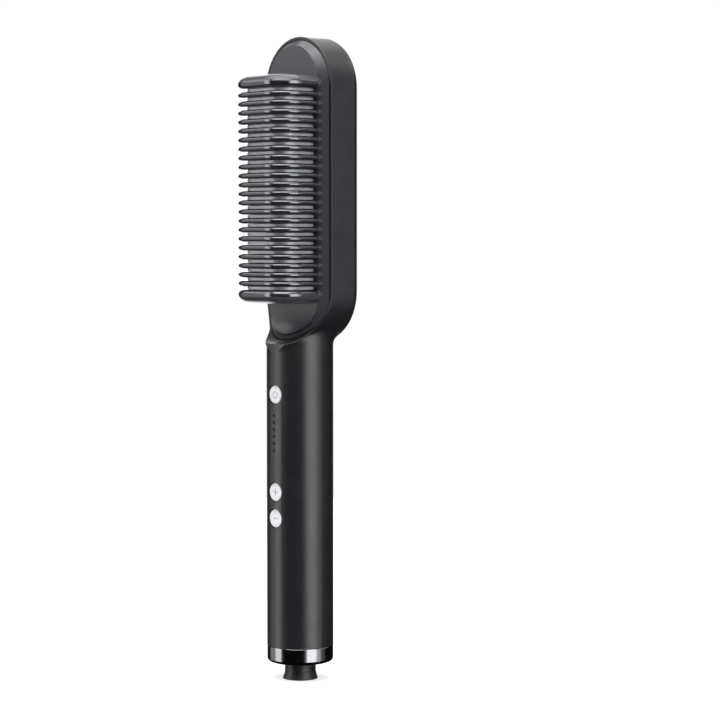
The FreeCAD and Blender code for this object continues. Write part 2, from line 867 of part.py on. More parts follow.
def button(height):
    """Round cap with a stop flange inside the handle and a stem on the switch."""
    front = button_sink - handle_radius
    cap = rod(button_radius, 0, height, front, -flange_front)
    rim = [edge for edge in cap.Edges if edge.BoundBox.YMax < front + touch_clearance]
    flange = rod(flange_radius, 0, height, -flange_front, button_flange_thickness - flange_front)
    stem = rod(button_stem_radius, 0, height, -flange_front, -plunger_front)
    return joined([cap.makeFillet(button_round, rim), flange, stem])


def indicator_lens():
    """Light pipe behind the dots: six pins on a bar with two legs on the board."""
    side = indicator_bar_width / 2
    front = button_clearance - math.sqrt(bore_radius ** 2 - side ** 2)
    back = -board_front_depth - indicator_led_depth - indicator_led_gap
    low = indicator_height - indicator_half
    high = indicator_height + indicator_half
    pieces = [block(indicator_bar_width, front, back, low, high)]
    for bottom in (low - indicator_leg, high):
        pieces.append(block(indicator_bar_width, front, -board_front_depth, bottom, bottom + indicator_leg))
    for height in indicator_heights():
        pieces.append(rod(indicator_pin_radius, 0, height, indicator_sink - handle_radius, back))
    return joined(pieces)


def indicator_leds():
    """Six small diodes on the board behind the light pipe."""
    half = indicator_led_size / 2
    leds = []
    for height in indicator_heights():
        front = -board_front_depth - indicator_led_depth
        leds.append(block(indicator_led_size, front, -board_front_depth, height - half, height + half))
    return Part.makeCompound(leds)


def lead(radius, points, bend):
    """A wire of straight runs joined by round bends, in the plane at one side."""
    edges = []
    start = points[0]
    for corner, end in zip(points[1:-1], points[2:]):
        before = (corner - start).normalize()
        after = (end - corner).normalize()
        arc_start = corner - before * bend
        arc_end = corner + after * bend
        centre = arc_start + after * bend
        outward = (corner - centre).normalize()
        edges.append(Part.LineSegment(start, arc_start).toShape())
        edges.append(Part.Arc(arc_start, centre + outward * bend, arc_end).toShape())
        start = arc_end
    edges.append(Part.LineSegment(start, points[-1]).toShape())
    direction = points[1] - points[0]
    ring = Part.Wire([Part.makeCircle(radius, points[0], direction)])
    return Part.Wire(edges).makePipeShell([ring], True, False)


def heater_leads():
    """Two wires from the board up through the neck to the lower heater."""
    depth = base_back + stack_thickness / 2
    end = heater_spans()[0][0]
    wires = []
    for side in both_sides(heater_lead_side):
        points = [
            Vector(side, board_back, lead_height),
            Vector(side, depth, lead_height),
            Vector(side, depth, end),
        ]
        wires.append(lead(heater_lead_radius, points, lead_bend_share * (depth - board_back)))
    return Part.makeCompound(wires)


def sensor_leads():
    """Two thin wires from the board up behind the clamp and through its window to the sensor."""
    depth = clamp_back + touch_clearance + sensor_lead_radius
    sensor_back = base_back + 2 * (touch_clearance + sensor_radius)
    wires = []
    for side in both_sides(sensor_lead_side):
        points = [
            Vector(side, board_back, lead_height),
            Vector(side, depth, lead_height),
            Vector(side, depth, head_middle),
            Vector(side, sensor_back, head_middle),
        ]
        wires.append(lead(sensor_lead_radius, points, sensor_bend))
    return Part.makeCompound(wires)


def light_leads():
    """Two wires from the board up to the lower edge of the light board."""
    reach = led_board_radius ** 2 - (light_lead_side - light_lead_radius) ** 2
    end = head_low - math.sqrt(reach) - touch_clearance
    wires = []
    for side in both_sides(light_lead_side):
        points = [
            Vector(side, board_back, lead_height),
            Vector(side, light_lead_depth, lead_height),
            Vector(side, light_lead_depth, end),
        ]
        wires.append(lead(light_lead_radius, points, lead_bend_share * (light_lead_depth - board_back)))
    return Part.makeCompound(wires)


def power_leads():
    """Two wires from the contact block to the foot of the board."""
    start = contact_bottom() + contact_block_length
    depth = contact_front() + power_lead_inset
    wires = []
    for side in both_sides(power_lead_side):
        points = [
            Vector(side, depth, start),
            Vector(side, depth, start + power_lead_rise),
            Vector(side, board_back, start + power_lead_rise),
        ]
        wires.append(lead(power_lead_radius, points, lead_bend_share * (depth - board_back)))
    return Part.makeCompound(wires)


def end_ring():
    """Chromed ring on the handle's end."""
    ring = post(handle_radius, 0, ring_height)
    bottom = [edge for edge in ring.Edges if edge.BoundBox.ZMax < touch_clearance]
    ring = ring.makeFillet(ring_bottom_round, bottom)
    top = [edge for edge in ring.Edges if edge.BoundBox.ZMin > ring_height - touch_clearance]
    ring = ring.makeChamfer(ring_top_chamfer, top)
    return ring.cut(post(ring_bore_radius, -cut_overrun, ring_height + cut_overrun))


def end_cap():
    """Plug in the handle's end: it carries the ring and is the bearing of the gland."""
    boss = post(ring_bore_radius - touch_clearance, cap_recess, ring_height)
    spigot = post(carrier_radius, ring_height, cap_top_height)
    hole = post(barrel_radius + running_clearance, -cut_overrun, brush_length)
    return boss.fuse(spigot).cut(hole)


def swivel_gland():
    """Turning cord gland: grooved collar, barrel with a clip groove, contact nose and cord bore."""
    top = gland_top
    bottom = top - gland_length
    collar = post(gland_radius, bottom + gland_flare_length, top)
    flare = Part.makeCone(gland_flare_radius, gland_radius, gland_flare_length, Vector(0, 0, bottom))
    barrel = post(barrel_radius, top, groove_bottom)
    groove = post(clip_groove_radius, groove_bottom, groove_top)
    shoulder = post(barrel_radius, groove_top, nose_bottom)
    nose = post(nose_radius, nose_bottom, nose_top)
    gland = joined([flare, collar, barrel, groove, shoulder, nose])
    spacing = (gland_length - gland_flare_length) / (gland_groove_count + 1)
    cutters = [post(cord_bore_radius, bottom - cut_overrun, bottom + cord_bore_length)]
    core = post(gland_radius - gland_groove_depth, bottom, top)
    for i in range(gland_groove_count):
        low = top - (i + 1) * spacing - gland_groove_width / 2
        cutters.append(post(gland_radius + cut_overrun, low, low + gland_groove_width).cut(core))
    return gland.cut(cutters)


def swivel_clip():
    """Open spring clip in the barrel's groove, resting over the cap."""
    low = groove_bottom + touch_clearance / 2
    clip = post(clip_radius, low, low + clip_thickness)
    hole = post(clip_groove_radius + touch_clearance, 0, brush_length)
    mouth = block(clip_mouth, -handle_radius, 0, 0, brush_length)
    return clip.cut([hole, mouth])


def slip_ring_bottoms():
    """Lower heights of the two contact rings."""
    first = nose_bottom + slip_ring_start
    return (first, first + slip_ring_width + slip_ring_gap)


def slip_rings():
    """Two brass rings on the gland's nose."""
    hole = post(nose_radius + touch_clearance / 2, 0, brush_length)
    rings = []
    for low in slip_ring_bottoms():
        rings.append(post(nose_radius + slip_ring_thickness, low, low + slip_ring_width).cut(hole))
    return Part.makeCompound(rings)


def contact_front():
    """Depth of the contact block's front face, behind its leaves."""
    return nose_radius + slip_ring_thickness + leaf_gap + leaf_thickness


def contact_bottom():
    """Lower height of the contact block."""
    middle = (slip_ring_bottoms()[0] + slip_ring_bottoms()[1] + slip_ring_width) / 2
    return middle - contact_block_length / 2


def contact_block():
    """Insulating block in the carrier's trough."""
    low = contact_bottom()
    body = block(contact_block_width, contact_front(), handle_radius, low, low + contact_block_length)
    return body.common(post(carrier_inner_radius - touch_clearance, 0, brush_length))


def contact_leaves():
    """Two brass leaves on the block, one at each slip ring."""
    front = contact_front() - leaf_thickness
    leaves = []
    for bottom in slip_ring_bottoms():
        low = bottom + (slip_ring_width - leaf_length) / 2
        leaves.append(block(leaf_width, front, contact_front(), low, low + leaf_length))
    return Part.makeCompound(leaves)


nodes = {
    "main_housing": main_housing(),
    "guard_comb": guard_comb(),
    "heating_comb": heating_comb(),
    "ptc_heaters": ptc_heaters(),
    "heater_sleeves": heater_sleeves(),
    "heater_clamp": heater_clamp(),
    "heater_screws": heater_screws(),
    "head_screws": head_screws(),
    "thermistor": thermistor(),
    "thermal_fuse": thermal_fuse(),
    "heat_shield": heat_shield(),
    "led_board": led_board(),
    "ring_leds": ring_leds(),
    "reflector_frame": reflector_frame(),
    "light_ring": light_ring(),
    "back_panel": back_panel(),
    "board_carrier": board_carrier(),
    "control_board": control_board(),
    "control_chip": control_chip(),
    "triac": triac(),
    "capacitor": capacitor(),
    "fuse": fuse(),
    "board_screws": board_screws(),
    "switch_bodies": switch_bodies(),
    "indicator_lens": indicator_lens(),
    "indicator_leds": indicator_leds(),
    "heater_leads": heater_leads(),
    "sensor_leads": sensor_leads(),
    "light_leads": light_leads(),
    "power_leads": power_leads(),
    "end_ring": end_ring(),
    "end_cap": end_cap(),
    "swivel_gland": swivel_gland(),
    "swivel_clip": swivel_clip(),
    "slip_rings": slip_rings(),
    "contact_block": contact_block(),
    "contact_leaves": contact_leaves(),
}
for name, height in button_heights.items():
    nodes[name + "_button"] = button(height)
    nodes[name + "_plunger"] = switch_plunger(height)

os.makedirs("parts", exist_ok=True)
for name, shape in nodes.items():
    placed = shape.translated(Vector(0, 0, -grip_centre_height))
    placed.exportStep("parts/" + name + ".step")
    print(name, len(placed.Solids), placed.isValid(), round(placed.Volume, 1))
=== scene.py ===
import math

import bmesh
import bpy
from mathutils import Matrix, Vector


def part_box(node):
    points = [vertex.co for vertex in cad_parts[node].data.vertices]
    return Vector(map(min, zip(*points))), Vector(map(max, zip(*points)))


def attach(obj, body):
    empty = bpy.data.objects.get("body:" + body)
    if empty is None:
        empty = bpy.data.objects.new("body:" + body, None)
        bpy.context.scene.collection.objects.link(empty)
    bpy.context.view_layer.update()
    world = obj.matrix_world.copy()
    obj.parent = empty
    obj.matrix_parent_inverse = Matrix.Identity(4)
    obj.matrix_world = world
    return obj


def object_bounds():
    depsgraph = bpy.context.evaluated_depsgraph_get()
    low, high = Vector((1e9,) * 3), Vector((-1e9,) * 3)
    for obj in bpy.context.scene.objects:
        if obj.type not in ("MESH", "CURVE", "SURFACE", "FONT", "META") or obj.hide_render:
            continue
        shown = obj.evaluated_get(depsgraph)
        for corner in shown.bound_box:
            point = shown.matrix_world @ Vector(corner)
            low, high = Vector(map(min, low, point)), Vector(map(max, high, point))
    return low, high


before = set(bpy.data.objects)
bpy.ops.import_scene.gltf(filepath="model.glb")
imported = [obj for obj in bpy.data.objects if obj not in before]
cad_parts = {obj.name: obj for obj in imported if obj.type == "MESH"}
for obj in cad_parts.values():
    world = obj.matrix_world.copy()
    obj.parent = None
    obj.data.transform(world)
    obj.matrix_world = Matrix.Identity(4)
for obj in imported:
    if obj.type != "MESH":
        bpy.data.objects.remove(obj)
cad_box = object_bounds()

# Heating comb: one aluminium casting, a base plate with thin fins that carry the heat to the hair.
# It is blasted, sprayed with a thin silver ceramic coat and baked, so it gleams softly like pewter.
mm = 0.001
cloud_grains = 16
grain_lift = 0.25
cloud_low = 0.3
cloud_high = 0.7


def linear(code):
    """An sRGB hex colour as linear red, green, blue and a full alpha."""
    shares = [int(code[i:i + 2], 16) / 255 for i in (1, 3, 5)]
    return [s / 12.92 if s <= 0.04045 else ((s + 0.055) / 1.055) ** 2.4 for s in shares] + [1.0]


def begin(name):
    """A new material, its node tree, its shader and the place on the object that its patterns read."""
    material = bpy.data.materials.new(name)
    material.use_nodes = True
    tree = material.node_tree
    return material, tree, tree.nodes["Principled BSDF"], add(tree, "TexCoord", {}).outputs["Object"]


def add(tree, kind, inputs, **settings):
    """Adds a node with its settings; each input takes a value or another node's output."""
    node = tree.nodes.new("ShaderNode" + kind)
    for name, value in settings.items():
        setattr(node, name, value)
    for name, value in inputs.items():
        if isinstance(value, bpy.types.NodeSocket):
            tree.links.new(value, node.inputs[name])
        else:
            node.inputs[name].default_value = value
    return node


def feed(tree, shader, **sockets):
    """Links outputs to the shader's sockets, with _ in a name for a space."""
    for name, output in sockets.items():
        tree.links.new(output, shader.inputs[name.replace("_", " ")])


def grained(name, deep, pale, gloss, grain, relief, ior=1.5, metallic=0.0):
    """A hard surface with an even grain and broad clouds, which colour, gloss and relief follow.

    deep and pale are the colours that it varies between, gloss its least and most roughness, grain the
    width of a grain and relief its height in millimetres."""
    material, tree, shader, place = begin(name)
    fine = add(tree, "TexNoise", {"Vector": place, "Scale": 1 / (grain * mm), "Detail": 3.0})
    broad = add(tree, "TexNoise", {"Vector": place, "Scale": 1 / (cloud_grains * grain * mm), "Detail": 4.0})
    blend = add(tree, "Math", {0: fine.outputs["Fac"], 1: broad.outputs["Fac"], 2: grain_lift},
                operation="MULTIPLY_ADD")
    colour = add(tree, "Mix", {0: blend.outputs[0], 6: linear(deep), 7: linear(pale)}, data_type="RGBA")
    rough = add(tree, "MapRange", {"Value": broad.outputs["Fac"], "From Min": cloud_low,
                                   "From Max": cloud_high, "To Min": gloss[0], "To Max": gloss[1]})
    bump = add(tree, "Bump", {"Height": fine.outputs["Fac"], "Distance": relief * mm})
    feed(tree, shader, Base_Color=colour.outputs[2], Roughness=rough.outputs[0], Normal=bump.outputs[0])
    shader.inputs["IOR"].default_value = ior
    shader.inputs["Metallic"].default_value = metallic
    return material


def dress(material, *names):
    """Gives CAD nodes their finish."""
    for name in names:
        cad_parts[name].data.materials.clear()
        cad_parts[name].data.materials.append(material)


# Sprayed ceramic on cast aluminium: pale metallic silver with an orange-peel grain of half a millimetre.
ceramic_coat = grained("ceramic_coated_aluminium", "#c3c6cb", "#d8dade", gloss=(0.48, 0.58), grain=0.5,
                       relief=0.02, metallic=0.7)
dress(ceramic_coat, "heating_comb")

# Heating plates: two fired ceramic slabs behind the comb, which limit their own heat.
# Their faces are silvered for the current, so the pale ceramic has a dull grey-white bloom.
silvered_ceramic = grained("silvered_ceramic", "#b9b3a6", "#e2ddd2", gloss=(0.45, 0.65), grain=0.3,
                           relief=0.03, ior=1.6)
dress(silvered_ceramic, "ptc_heaters")

# Heater sleeves: amber film wound round each heating plate, so that no current reaches the comb.
# Polyimide film is clear amber, and its overlapping turns, about 6 mm wide, show as darker bands.
film_turn = 6 * mm
wave_length = math.pi / 10
film, tree, shader, place = begin("amber_polyimide_film")
turns = add(tree, "TexWave", {"Vector": place, "Scale": wave_length / film_turn, "Distortion": 0.4},
            bands_direction="Z", wave_profile="SAW")
amber = add(tree, "Mix", {0: turns.outputs["Fac"], 6: linear("#8a4a08"), 7: linear("#d08a1e")},
            data_type="RGBA")
sheen = add(tree, "MapRange", {"Value": turns.outputs["Fac"], "To Min": 0.15, "To Max": 0.35})
feed(tree, shader, Base_Color=amber.outputs[2], Roughness=sheen.outputs[0])
shader.inputs["IOR"].default_value = 1.7
dress(film, "heater_sleeves")

# Heater clamp: a plate of rolled steel that presses the heating plates on the comb.
# It is cut from strip, so fine rolling lines run along it.
line_stretch = 0.04
line_depth = 0.004 * mm


def rolled(name, deep, pale, gloss, line):
    """Bare metal with straight lines along the brush, line millimetres apart, left by rolls or a brush."""
    material, tree, shader, place = begin(name)
    along = add(tree, "Mapping", {"Vector": place, "Scale": (1.0, 1.0, line_stretch)})
    lines = add(tree, "TexNoise", {"Vector": along.outputs[0], "Scale": 1 / (line * mm), "Detail": 4.0})
    colour = add(tree, "Mix", {0: lines.outputs["Fac"], 6: linear(deep), 7: linear(pale)}, data_type="RGBA")
    rough = add(tree, "MapRange", {"Value": lines.outputs["Fac"], "To Min": gloss[0], "To Max": gloss[1]})
    bump = add(tree, "Bump", {"Height": lines.outputs["Fac"], "Distance": line_depth})
    feed(tree, shader, Base_Color=colour.outputs[2], Roughness=rough.outputs[0], Normal=bump.outputs[0])
    shader.inputs["Metallic"].default_value = 1.0
    return material


# Rolled spring steel: mid grey with lines 0.2 mm apart, drawn about twice as wide as real ones.
spring_steel = rolled("rolled_spring_steel", "#8c8d90", "#c2c3c6", gloss=(0.22, 0.42), line=0.2)
dress(spring_steel, "heater_clamp")

# Screws and cut-out: zinc-plated steel, turned or drawn and tumbled bright.
# Four screws hold the heaters in the comb, four the comb in the shell and four the board, and the cut-out
# lies on the clamp.
zinc_plate = grained("zinc_plated_steel", "#9fa3a6", "#d3d6d8", gloss=(0.25, 0.42), grain=0.4, relief=0.01,
                     metallic=1.0)
dress(zinc_plate, "heater_screws", "head_screws", "thermal_fuse", "board_screws")

# Temperature sensor and fuse: small glass bodies, drawn tube sealed by flame on its wires.
# The glass is amber with faint streaks along the tube, 0.6 mm wide.
streak_width = 0.6 * mm
streak_stretch = 0.15
bead_glass, tree, shader, place = begin("sealed_bead_glass")
pulled = add(tree, "Mapping", {"Vector": place, "Scale": (1.0, 1.0, streak_stretch)})
streaks = add(tree, "TexNoise", {"Vector": pulled.outputs[0], "Scale": 1 / streak_width, "Detail": 2.0})
tint = add(tree, "Mix", {0: streaks.outputs["Fac"], 6: linear("#8f5a26"), 7: linear("#d9a35c")},
           data_type="RGBA")
polish = add(tree, "MapRange", {"Value": streaks.outputs["Fac"], "To Min": 0.04, "To Max": 0.14})
feed(tree, shader, Base_Color=tint.outputs[2], Roughness=polish.outputs[0])
shader.inputs["IOR"].default_value = 1.52
dress(bead_glass, "thermistor", "fuse")

# Heat shield: a sheet of pressed mica between the heater and the light.
# Pressed from flakes 3 mm across, which glint a little differently in one golden-grey sheet.
flake_width = 3 * mm
flake_step = 0.03 * mm
mica, tree, shader, place = begin("pressed_mica")
flakes = add(tree, "TexVoronoi", {"Vector": place, "Scale": 1 / flake_width})
flake = add(tree, "Mix", {0: flakes.outputs["Distance"], 6: linear("#a99a78"), 7: linear("#d8ccb0")},
            data_type="RGBA")
glint = add(tree, "MapRange", {"Value": flakes.outputs["Distance"], "To Min": 0.25, "To Max": 0.55})
layers = add(tree, "Bump", {"Height": flakes.outputs["Distance"], "Distance": flake_step})
feed(tree, shader, Base_Color=flake.outputs[2], Roughness=glint.outputs[0], Normal=layers.outputs[0])
shader.inputs["IOR"].default_value = 1.58
dress(mica, "heat_shield")

# Guard comb: the cool front insert with its ribs and end plates, one moulding that hair slides over.
# It is heat-proof black nylon, and the ribs and the plates' noses are sprayed with a dark metal lacquer.
low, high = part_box("guard_comb")
rib_length = 22.2 * mm
plateau_depth = low.y + rib_length
coat_end = plateau_depth - 0.9 * mm
bare_start = plateau_depth - 0.3 * mm
comb_middle = (low.z + high.z) / 2
nose_offset = 46.5 * mm
nose_end = nose_offset + 0.4 * mm
plate_start = nose_offset + 1.6 * mm
lacquer_grain = 0.6 * mm
lacquer_relief = 0.004 * mm
lacquer_metal = 0.92
lacquer_polish = -0.14

# Satin black nylon with gunmetal lacquer on the ribs and on the inner side of each end plate: grey, nearly
# a metal, with a grain of 0.6 mm, so that each rib has a bright upper edge and a dark lower one.
guard_finish, tree, shader, place = begin("gunmetal_lacquered_nylon")
axes = add(tree, "SeparateXYZ", {"Vector": place})
outside = add(tree, "MapRange", {"Value": axes.outputs["Y"], "From Min": coat_end, "From Max": bare_start,
                                 "To Min": 1.0, "To Max": 0.0})
rise = add(tree, "Math", {0: axes.outputs["Z"], 1: comb_middle}, operation="SUBTRACT")
reach = add(tree, "Math", {0: rise.outputs[0]}, operation="ABSOLUTE")
between = add(tree, "MapRange", {"Value": reach.outputs[0], "From Min": nose_end, "From Max": plate_start,
                                 "To Min": 1.0, "To Max": 0.0})
coated = add(tree, "Math", {0: outside.outputs[0], 1: between.outputs[0]}, operation="MULTIPLY")
grain = add(tree, "TexNoise", {"Vector": place, "Scale": 1 / lacquer_grain, "Detail": 3.0})
nylon = add(tree, "Mix", {0: grain.outputs["Fac"], 6: linear("#333338"), 7: linear("#3d3d42")},
            data_type="RGBA")
gunmetal = add(tree, "Mix", {0: grain.outputs["Fac"], 6: linear("#616168"), 7: linear("#76767d")},
               data_type="RGBA")
colour = add(tree, "Mix", {0: coated.outputs[0], 6: nylon.outputs[2], 7: gunmetal.outputs[2]},
             data_type="RGBA")
metal = add(tree, "Math", {0: coated.outputs[0], 1: lacquer_metal}, operation="MULTIPLY")
satin = add(tree, "MapRange", {"Value": grain.outputs["Fac"], "To Min": 0.26, "To Max": 0.36})
gloss = add(tree, "Math", {0: coated.outputs[0], 1: lacquer_polish, 2: satin.outputs[0]},
            operation="MULTIPLY_ADD")
bump = add(tree, "Bump", {"Height": grain.outputs["Fac"], "Distance": lacquer_relief})
feed(tree, shader, Base_Color=colour.outputs[2], Metallic=metal.outputs[0], Roughness=gloss.outputs[0],
     Normal=bump.outputs[0])
shader.inputs["IOR"].default_value = 1.53
dress(guard_finish, "guard_comb")

# Housing: head shell, scooped neck and handle in one moulding that everything else goes into.
# Black ABS from a spark-eroded mould: satin, with a grain of 0.15 mm that is drawn at 0.5 mm to show.
satin_abs = grained("satin_black_abs", "#161619", "#202024", gloss=(0.3, 0.38), grain=0.5, relief=0.008,
                    ior=1.54)
dress(satin_abs, "main_housing")

# Light board and control board: glass-epoxy boards, a ring under the back and a strip in the handle.
# Green lacquer lies over copper tracks about 1.5 mm wide, which show as paler lines.
track_cell = 6 * mm
copper_height = 0.035 * mm
lacquer, tree, shader, place = begin("green_lacquered_board")
cells = add(tree, "TexVoronoi", {"Vector": place, "Scale": 1 / track_cell, "Randomness": 0.7},
            feature="DISTANCE_TO_EDGE")
track = add(tree, "MapRange", {"Value": cells.outputs["Distance"], "From Min": 0.09, "From Max": 0.13,
                               "To Min": 1.0, "To Max": 0.0})
green = add(tree, "Mix", {0: track.outputs[0], 6: linear("#0d4a2a"), 7: linear("#2c7a4a")},
            data_type="RGBA")
sheen = add(tree, "MapRange", {"Value": track.outputs[0], "To Min": 0.4, "To Max": 0.28})
raised = add(tree, "Bump", {"Height": track.outputs[0], "Distance": copper_height})
feed(tree, shader, Base_Color=green.outputs[2], Roughness=sheen.outputs[0], Normal=raised.outputs[0])
shader.inputs["IOR"].default_value = 1.55
dress(lacquer, "led_board", "control_board")

# Diodes: white moulded cases filled with clear resin over yellow phosphor, soldered in a row or a ring.
# The phosphor shows as warm spots 0.8 mm wide in the white.
diode_resin = grained("phosphor_resin", "#e3d48f", "#f2f0e6", gloss=(0.2, 0.35), grain=0.8, relief=0.01,
                      ior=1.53)
dress(diode_resin, "ring_leds", "indicator_leds")

# Reflector frame: carries the light board, the ring and the panel, and throws the light back.
# White ABS with plenty of pigment, moulded matt.
white_abs = grained("matt_white_abs", "#dcdcdf", "#efeff1", gloss=(0.5, 0.62), grain=0.5, relief=0.01,
                    ior=1.54)
dress(white_abs, "reflector_frame")

# Light ring: a frosted acrylic ring round the back panel, lit from below by the diodes.
# It glows pale lavender along both sides and deep violet-blue round its two ends.
low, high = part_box("light_ring")
ring_middle = (low.z + high.z) / 2
ring_half_length = (high.z - low.z) / 2
ring_half_width = (high.x - low.x) / 2
side_half_length = ring_half_length - ring_half_width
line_inner = ring_half_width - 0.7 * mm
line_outer = ring_half_width - 0.4 * mm
haze_width = 8 * mm
side_glow = "#d2c9fb"
end_glow = "#4526da"
glow_between = ((0.72, "#cdc2fa"), (0.84, "#b3a4f6"), (0.93, "#7c60ea"))

# Lit acrylic: the colour turns with the place along the brush, and a line of one pale violet runs along the
# outer edge:
# along the sides it is painted shade, darker than the glow where the ring's edge curves away, and round the
# ends it is lighter than the deep violet.
lit_acrylic, tree, shader, place = begin("lit_violet_acrylic")
centred = add(tree, "Mapping", {"Vector": place, "Location": (0.0, 0.0, -ring_middle)})
axes = add(tree, "SeparateXYZ", {"Vector": centred.outputs[0]})
reach = add(tree, "Math", {0: axes.outputs["Z"]}, operation="ABSOLUTE")
share = add(tree, "Math", {0: reach.outputs[0], 1: ring_half_length}, operation="DIVIDE")
turn = add(tree, "ValToRGB", {"Fac": share.outputs[0]})
stops = turn.color_ramp.elements
stops[0].color = linear(side_glow)
stops[1].color = linear(end_glow)
for position, code in glow_between:
    stops.new(position).color = linear(code)
past = add(tree, "Math", {0: reach.outputs[0], 1: side_half_length}, operation="SUBTRACT")
past_end = add(tree, "Math", {0: past.outputs[0], 1: 0.0}, operation="MAXIMUM")
flat = add(tree, "CombineXYZ", {"X": axes.outputs["X"], "Z": past_end.outputs[0]})
radius = add(tree, "VectorMath", {0: flat.outputs[0]}, operation="LENGTH")
# Painted shade: the outer edge line darkens the pale sides where the ring's rounded edge turns away.
edge = add(tree, "MapRange", {"Value": radius.outputs["Value"], "From Min": line_inner,
                              "From Max": line_outer})
haze = add(tree, "TexNoise", {"Vector": place, "Scale": 1 / haze_width, "Detail": 2.0})
even = add(tree, "MapRange", {"Value": haze.outputs["Fac"], "To Min": 0.94, "To Max": 1.04})
glow = add(tree, "Mix", {0: edge.outputs[0], 6: turn.outputs["Color"], 7: linear("#b9a8fb")},
           data_type="RGBA")
lit = add(tree, "VectorMath", {0: glow.outputs[2], "Scale": even.outputs[0]}, operation="SCALE")
frost = add(tree, "MapRange", {"Value": haze.outputs["Fac"], "To Min": 0.3, "To Max": 0.42})
feed(tree, shader, Emission_Color=lit.outputs[0], Roughness=frost.outputs[0])
shader.inputs["Base Color"].default_value = linear("#1c1440")
shader.inputs["Emission Strength"].default_value = 0.95
shader.inputs["IOR"].default_value = 1.49
dress(lit_acrylic, "light_ring")

# Back panel: a long oval plate of polished black acrylic that snaps in the frame inside the light ring.
# Smoked black through; towards its long edges the colour turns grey, a painted reflection of the lamps at
# the brush's sides.
low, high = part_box("back_panel")
panel_half_width = (high.x - low.x) / 2
dark_half_width = 0.3 * panel_half_width
wipe_width = 12 * mm
smoked, tree, shader, place = begin("polished_smoked_acrylic")
axes = add(tree, "SeparateXYZ", {"Vector": place})
off = add(tree, "Math", {0: axes.outputs["X"]}, operation="ABSOLUTE")
# Painted reflection: the colour turns from smoke-black in the middle third to grey at the long edges.
painted_reflection_share = add(tree, "MapRange", {"Value": off.outputs[0], "From Min": dark_half_width,
                              "From Max": panel_half_width}, interpolation_type="SMOOTHSTEP")
smoke_and_painted_reflection = add(tree, "Mix", {0: painted_reflection_share.outputs[0], 6: linear("#0c0c0e"), 7: linear("#39393c")},
            data_type="RGBA")
wipes = add(tree, "TexNoise", {"Vector": place, "Scale": 1 / wipe_width, "Detail": 5.0})
shine = add(tree, "MapRange", {"Value": wipes.outputs["Fac"], "To Min": 0.05, "To Max": 0.14})
feed(tree, shader, Base_Color=smoke_and_painted_reflection.outputs[2], Roughness=shine.outputs[0])
shader.inputs["IOR"].default_value = 1.49
dress(smoked, "back_panel")

# Board carrier, switch stems and contact block: inner mouldings that slide in the handle with the board.
# Grey nylon with the flat, slightly waxy face of a plain mould.
grey_nylon = grained("plain_grey_nylon", "#6c6c6f", "#828286", gloss=(0.42, 0.56), grain=0.6, relief=0.02,
                     ior=1.53)
dress(grey_nylon, "board_carrier", "power_plunger", "warmer_plunger", "cooler_plunger", "contact_block")

# Chip, triac and switches: black epoxy packages pressed in moulds and soldered on the board.
# The epoxy is matt, with a sandy grain of its quartz filler.
epoxy = grained("moulded_black_epoxy", "#17171a", "#26262a", gloss=(0.5, 0.68), grain=0.25, relief=0.02,
                ior=1.55)
dress(epoxy, "control_chip", "triac", "switch_bodies")

# Capacitor: a film winding cast in a yellow box of filled epoxy, soldered on the board.
# The box is semi-gloss, with slightly cloudy colour.
yellow_box = grained("cast_yellow_epoxy", "#c68a10", "#e2aa2a", gloss=(0.3, 0.42), grain=0.7, relief=0.01,
                     ior=1.55)
dress(yellow_box, "capacitor")

# Inner wires: stranded copper in silicone, red for the mains and heaters and white for light and sensor.
# The silicone is extruded, so it is dull and a little dusty.
red_silicone = grained("red_silicone", "#8e1414", "#b32121", gloss=(0.55, 0.7), grain=0.4, relief=0.01,
                       ior=1.41)
white_silicone = grained("white_silicone", "#cfcfca", "#e6e6e1", gloss=(0.55, 0.7), grain=0.4, relief=0.01,
                         ior=1.41)
dress(red_silicone, "heater_leads", "power_leads")
dress(white_silicone, "sensor_leads", "light_leads")

# Buttons: three round caps held behind the shell by their flanges, on the stems of the switches.
# ABS sprayed silver-white: pearl flakes 0.2 mm wide, drawn at 0.4 mm, under a smooth clear coat.
pearl_paint = grained("silver_white_paint", "#d2d2d7", "#e4e4e8", gloss=(0.26, 0.34), grain=0.4,
                      relief=0.003, ior=1.5)
dress(pearl_paint, "power_button", "warmer_button", "cooler_button")

# Button signs: the usual power, plus and minus signs, pad-printed in grey on the three caps.
# The ink stands a few hundredths of a millimetre proud of the paint.
stroke = 0.42 * mm
ink = 0.06 * mm
sign_radius = 1.55 * mm
sign_width = 2 * sign_radius
power_gap = 80
power_tick_lift = 0.75 * sign_radius
arc_steps = 40


def stroke_bar(mesh, width, height, lift=0.0):
    """A straight stroke of the sign, with its middle lift above the sign's middle."""
    bar = bmesh.ops.create_cube(mesh, size=1.0)["verts"]
    bmesh.ops.scale(mesh, vec=(width, ink, height), verts=bar)
    bmesh.ops.translate(mesh, vec=(0.0, 0.0, lift), verts=bar)


def stroke_arc(mesh, gap):
    """An open ring, with a gap in degrees at its top."""
    corners = [mesh.verts.new((sign_radius + x * stroke / 2, y * ink / 2, 0.0))
               for x, y in ((-1, -1), (1, -1), (1, 1), (-1, 1))]
    face = mesh.faces.new(corners)
    bmesh.ops.rotate(mesh, verts=corners, matrix=Matrix.Rotation(math.radians(gap / 2 - 90), 3, "Y"))
    bmesh.ops.spin(mesh, geom=[face] + list(face.edges) + corners, axis=(0.0, 1.0, 0.0),
                   angle=math.radians(360 - gap), steps=arc_steps)
    bmesh.ops.holes_fill(mesh, edges=[e for e in mesh.edges if e.is_boundary])


def set_up(name, mesh, material):
    """Makes the finished mesh an object with its finish."""
    data = bpy.data.meshes.new(name)
    mesh.to_mesh(data)
    mesh.free()
    data.materials.append(material)
    piece = bpy.data.objects.new(name, data)
    bpy.context.collection.objects.link(piece)
    return piece


